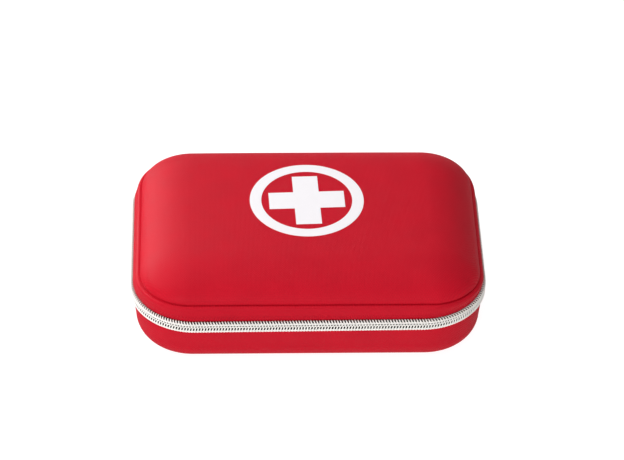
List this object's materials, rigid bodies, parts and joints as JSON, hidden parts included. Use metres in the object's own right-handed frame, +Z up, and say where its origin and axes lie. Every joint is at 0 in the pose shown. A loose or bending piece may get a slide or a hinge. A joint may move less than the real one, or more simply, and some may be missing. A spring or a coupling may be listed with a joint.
{
  "type": "first aid kit",
  "caption": "Soft-shell zipped first aid case with a hinged lid, net pocket, zip slider and pull, and its bandages, scissors, tweezers and packs.",
  "frame": {"origin": "middle of the underside of the closed case, on the surface it rests on", "axes": "+X along the case, -Y towards the front where it opens, +Y towards the fabric hinge, +Z up"},
  "size_m": [0.178, 0.1257, 0.0492],
  "materials": {
    "red_fabric": "woven nylon over moulded foam",
    "binding": "matt woven tape",
    "lining": "brushed lining cloth",
    "zip_tape": "woven tape",
    "zip_coil": "silvery moulded coil",
    "zip_metal": "plated die casting",
    "print_white": "printed film",
    "net": "open mesh",
    "elastic": "woven elastic",
    "clear_pack": "plastic film pouch",
    "foil_pack": "printed foil",
    "paper": "paper",
    "bandage": "crepe cotton",
    "white_cotton": "cotton gauze",
    "adhesive": "coated cloth tape",
    "spool_plastic": "moulded plastic",
    "plaster_wrap": "waxed paper wrap",
    "steel": "polished and brushed",
    "handle_red": "moulded plastic"
  },
  "bodies": {
    "base": {"base_shell": "red_fabric", "base_lining": "lining", "base_binding": "binding", "lower_zip_tape": "zip_tape", "lower_zip_coil": "zip_coil", "lower_zip_stops": "zip_metal", "hinge_fabric_lower": "red_fabric", "elastic_bandage": "bandage", "bandage_clips": "zip_metal", "gauze_bandage": "white_cotton", "adhesive_tape": "adhesive", "tape_spool": "spool_plastic", "triangular_bandage": "clear_pack", "foil_blanket": "foil_pack", "gauze_pads": "paper", "plasters": "plaster_wrap", "safety_pins": "steel", "scissors_fixed_blade": "steel", "scissors_fixed_handle": "handle_red", "scissors_rivet": "steel", "tweezers_fixed_arm": "steel"},
    "lid": {"lid_shell": "red_fabric", "lid_lining": "lining", "lid_binding": "binding", "upper_zip_tape": "zip_tape", "upper_zip_coil": "zip_coil", "upper_zip_stops": "zip_metal", "hinge_fabric_upper": "red_fabric", "lid_emblem": "print_white", "pocket_net": "net", "pocket_hem": "elastic", "glove_pack": "clear_pack", "antiseptic_wipes": "foil_pack", "aid_leaflet": "paper"},
    "slider": {"zip_slider": "zip_metal"},
    "pull_loop": {"zip_pull_loop": "zip_metal"},
    "pull_tab": {"zip_pull_tab": "zip_metal"},
    "scissors_half": {"scissors_moving_blade": "steel", "scissors_moving_handle": "handle_red"},
    "tweezers_arm": {"tweezers_moving_arm": "steel"}
  },
  "joints": [
    {"name": "lid_hinge", "type": "hinge", "parent": "base", "child": "lid", "pos_m": [0, 0.063, 0.0255], "axis": [-1, 0, 0], "range_deg": [0, 180]},
    {"name": "slider_travel", "type": "hinge", "parent": "base", "child": "slider", "pos_m": [0.056, 0.03, 0.0255], "axis": [0, 0, -1], "range_deg": [0, 50]},
    {"name": "pull_loop_swing", "type": "hinge", "parent": "slider", "child": "pull_loop", "pos_m": [0.07833, 0.05963, 0.0255], "axis": [0.7986, -0.6018, 0], "range_deg": [-4, 160]},
    {"name": "pull_tab_swing", "type": "hinge", "parent": "pull_loop", "child": "pull_tab", "pos_m": [0.07833, 0.05963, 0.019], "axis": [0.6018, 0.7986, 0], "range_deg": [-75, 75]},
    {"name": "scissors_pivot", "type": "hinge", "parent": "base", "child": "scissors_half", "pos_m": [0.038, 0.002, 0.0253], "axis": [0, 0, 1], "range_deg": [0, 40]},
    {"name": "tweezers_squeeze", "type": "hinge", "parent": "base", "child": "tweezers_arm", "pos_m": [-0.017, 0.0365, 0.0202], "axis": [0, 0, -1], "range_deg": [0, 3.2], "stiffness_Nm_per_rad": 0.8}
  ]
}
